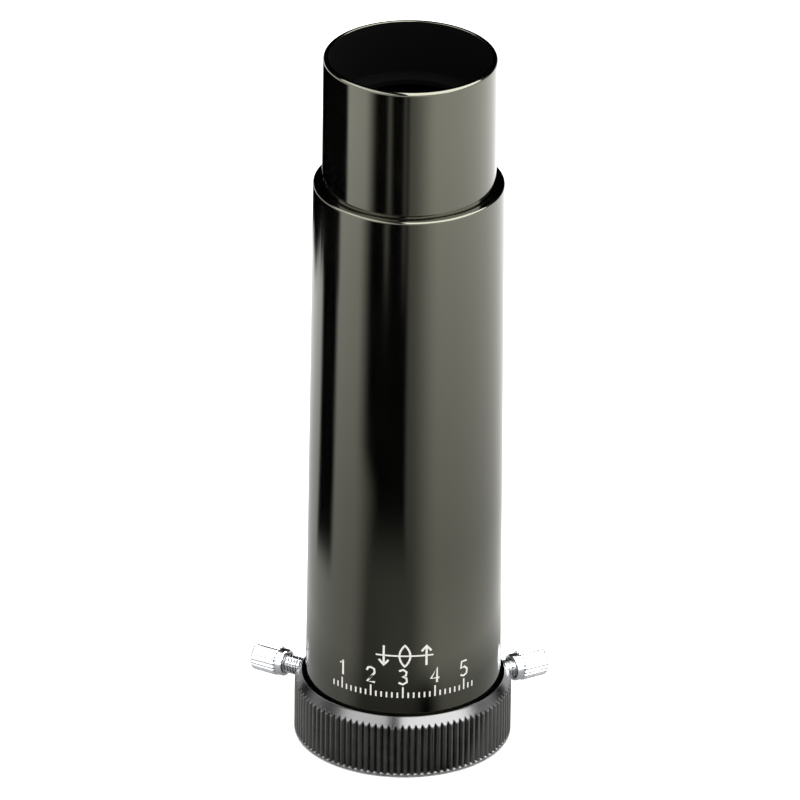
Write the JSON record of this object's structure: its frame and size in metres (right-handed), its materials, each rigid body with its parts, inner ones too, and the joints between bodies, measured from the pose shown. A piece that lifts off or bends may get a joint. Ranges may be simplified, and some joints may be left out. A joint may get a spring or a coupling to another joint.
{
  "type": "telescope erecting eyepiece tube",
  "caption": "Relay lens tube for a telescope: a push-fit barrel, a long black main tube and a knurled collar whose thumbscrews clamp an eyepiece.",
  "frame": {"origin": "on the optical axis, at the eyepiece end face that the tube stands on", "axes": "+Z along the optical axis towards the insertion barrel, thumbscrews towards +X and -X turned 30 degrees towards +Y"},
  "size_m": [0.0552, 0.04, 0.137],
  "materials": {
    "gloss_black_anodised": "gloss black anodised and lacquered",
    "knurled_black": "satin black anodised, straight knurled",
    "flat_black": "matt anti-reflection black",
    "black_aluminium": "turned, black anodised",
    "crown_glass": "polished, blue-violet coated",
    "flint_glass": "polished, blue-violet coated",
    "bright_chrome": "bright chrome plated, straight knurled"
  },
  "bodies": {
    "tube": {"main_tube": "gloss_black_anodised", "insertion_barrel": "gloss_black_anodised", "eyepiece_collar": "knurled_black", "lens_cell": "black_aluminium", "rear_flint_lens": "flint_glass", "rear_crown_lens": "crown_glass", "rear_lens_spacer": "black_aluminium", "aperture_stop": "flat_black", "front_lens_spacer": "black_aluminium", "front_crown_lens": "crown_glass", "front_flint_lens": "flint_glass", "lens_retainer": "black_aluminium", "cell_sleeve": "flat_black", "front_baffle": "flat_black", "rear_baffle": "flat_black", "field_stop": "flat_black"},
    "right_stud": {"right_screw_stud": "bright_chrome"},
    "right_head": {"right_screw_head": "bright_chrome"},
    "left_stud": {"left_screw_stud": "bright_chrome"},
    "left_head": {"left_screw_head": "bright_chrome"}
  },
  "joints": [
    {"name": "right_screw_travel", "type": "slide", "parent": "tube", "child": "right_stud", "axis": [0.866, 0.5, 0], "range_m": [-0.00145, 0.0034]},
    {"name": "right_screw_turn", "type": "hinge", "parent": "right_stud", "child": "right_head", "pos_m": [0.01983, 0.01145, 0.00665], "axis": [0.866, 0.5, 0], "range_deg": [-870, 2040]},
    {"name": "left_screw_travel", "type": "slide", "parent": "tube", "child": "left_stud", "axis": [-0.866, 0.5, 0], "range_m": [-0.00305, 0.0018]},
    {"name": "left_screw_turn", "type": "hinge", "parent": "left_stud", "child": "left_head", "pos_m": [-0.02122, 0.01225, 0.00665], "axis": [-0.866, 0.5, 0], "range_deg": [-1830, 1080]}
  ],
  "couplings": [
    {"joint": "right_screw_turn", "follows": "right_screw_travel", "rad_per_m": 10472},
    {"joint": "left_screw_turn", "follows": "left_screw_travel", "rad_per_m": 10472}
  ]
}
